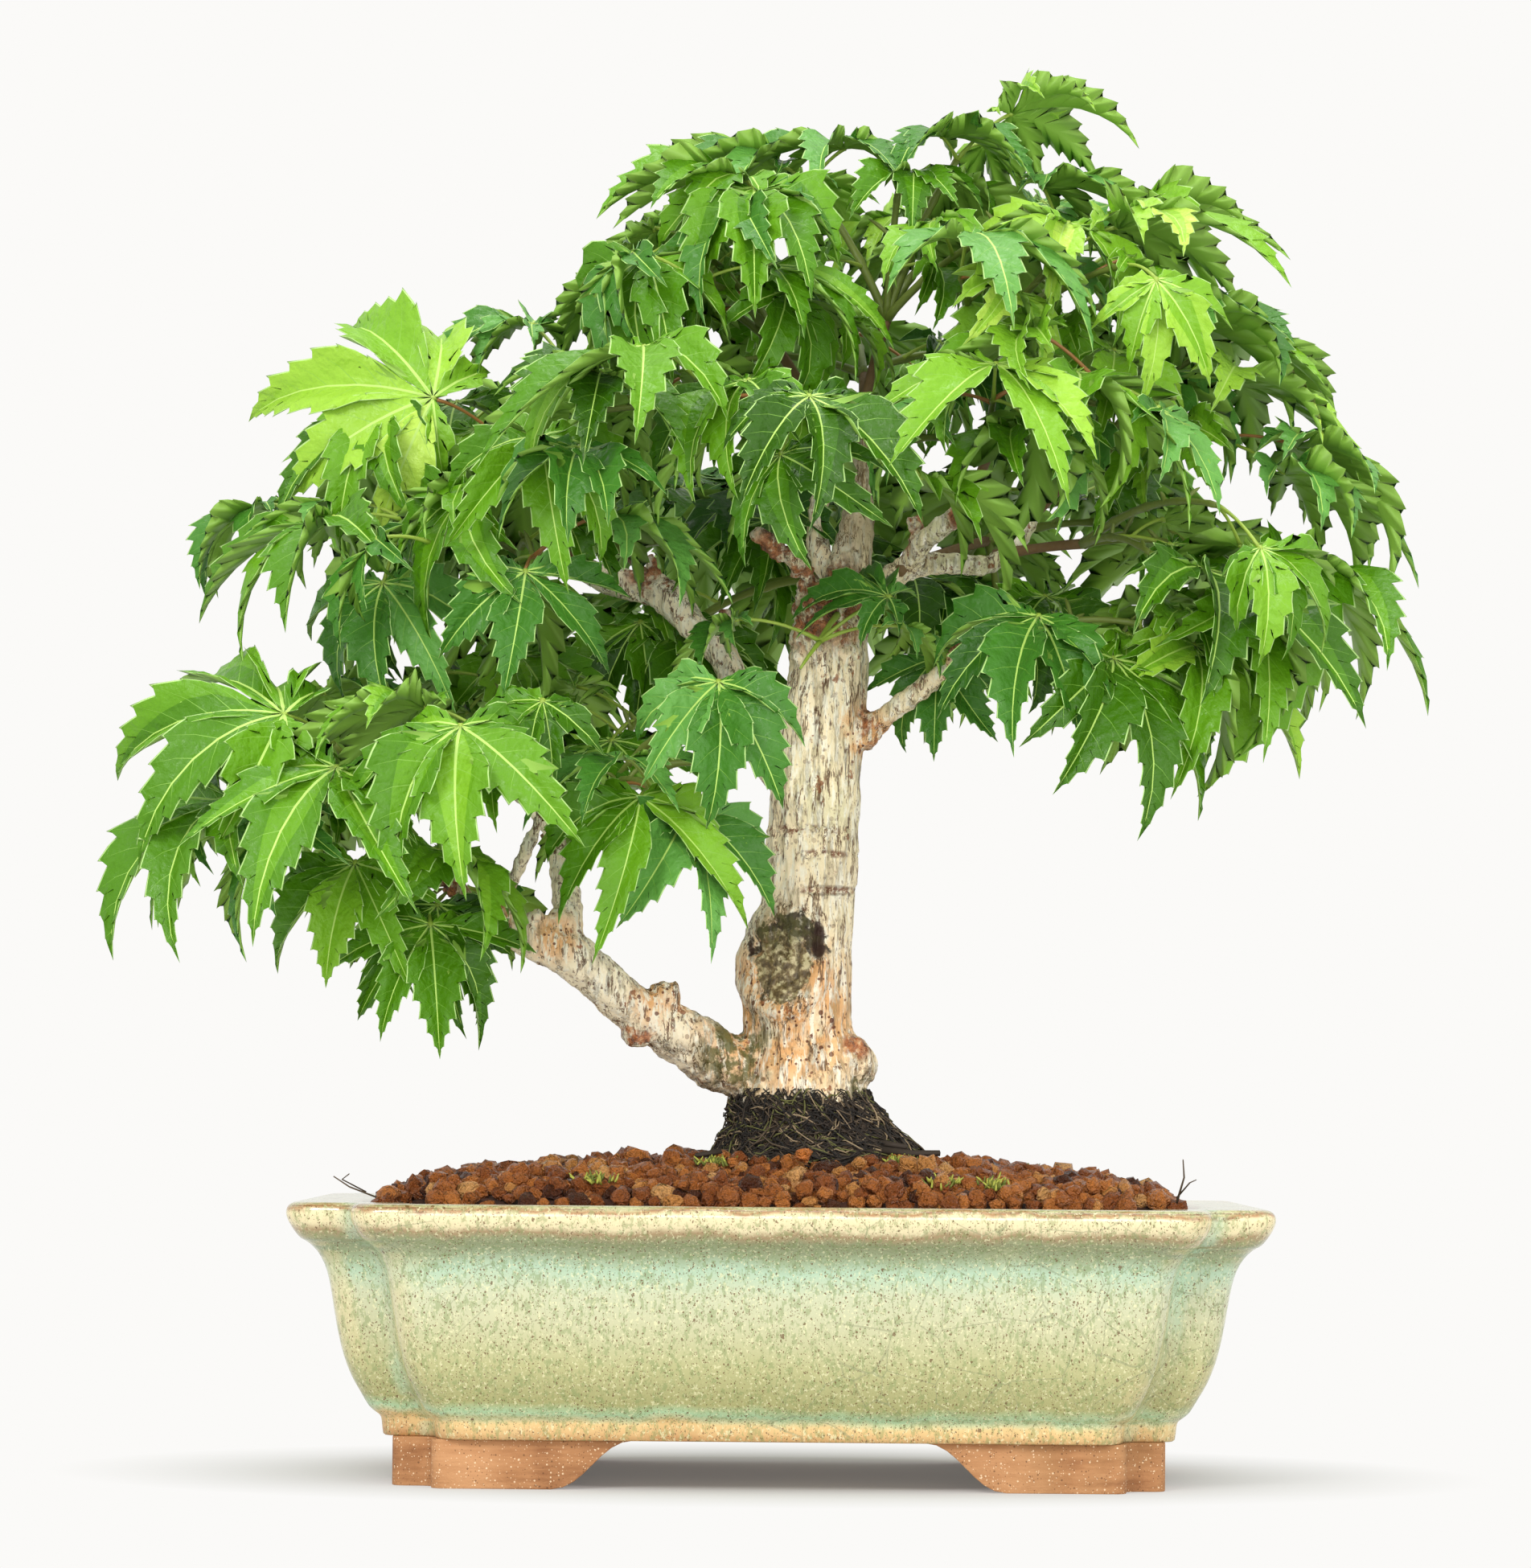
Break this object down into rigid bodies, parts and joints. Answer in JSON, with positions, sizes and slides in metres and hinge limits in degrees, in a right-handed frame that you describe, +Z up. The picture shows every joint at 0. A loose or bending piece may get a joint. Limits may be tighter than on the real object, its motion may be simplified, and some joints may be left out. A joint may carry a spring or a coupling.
{
  "type": "shishigashira japanese maple bonsai",
  "caption": "Potted japanese maple bonsai with a tapering trunk, low left bough, domed crown of lobed green leaves and a glazed rectangular tray pot on feet.",
  "frame": {"origin": "middle of the whole plant and pot seen from above, on the level surface that the pot stands on", "axes": "+Z up, -Y towards the front that the picture shows, +X to the right seen from the front"},
  "size_m": [0.2658, 0.1862, 0.28],
  "materials": {
    "glaze": "gloss",
    "bare_clay": "matte",
    "soil": "matte",
    "root_peat": "matte",
    "bark": "satin",
    "leaves": "satin"
  },
  "bodies": {
    "root": {"pot": "glaze", "soil": "soil", "root_ball": "root_peat", "foot_front_left": "bare_clay", "foot_front_right": "bare_clay", "foot_back_left": "bare_clay", "foot_back_right": "bare_clay", "trunk": "bark", "low_left_bough": "bark", "low_left_fork": "bark", "low_left_spur": "bark", "low_left_twig": "bark", "mid_left_bough": "bark", "right_lower_bough": "bark", "right_upper_bough": "bark", "right_upper_spur": "bark", "back_leader": "bark", "apex_foliage": "leaves", "upper_left_foliage": "leaves", "upper_right_foliage": "leaves", "front_right_foliage": "leaves", "front_left_foliage": "leaves", "left_shoulder_foliage": "leaves", "left_shelf_foliage": "leaves", "right_shoulder_foliage": "leaves", "right_shelf_foliage": "leaves", "right_low_foliage": "leaves", "low_left_outer_foliage": "leaves", "low_left_front_foliage": "leaves", "low_left_inner_foliage": "leaves", "low_left_under_foliage": "leaves", "back_low_left_foliage": "leaves", "back_left_foliage": "leaves", "back_centre_foliage": "leaves", "back_right_foliage": "leaves", "back_top_foliage": "leaves"}
  },
  "joints": []
}
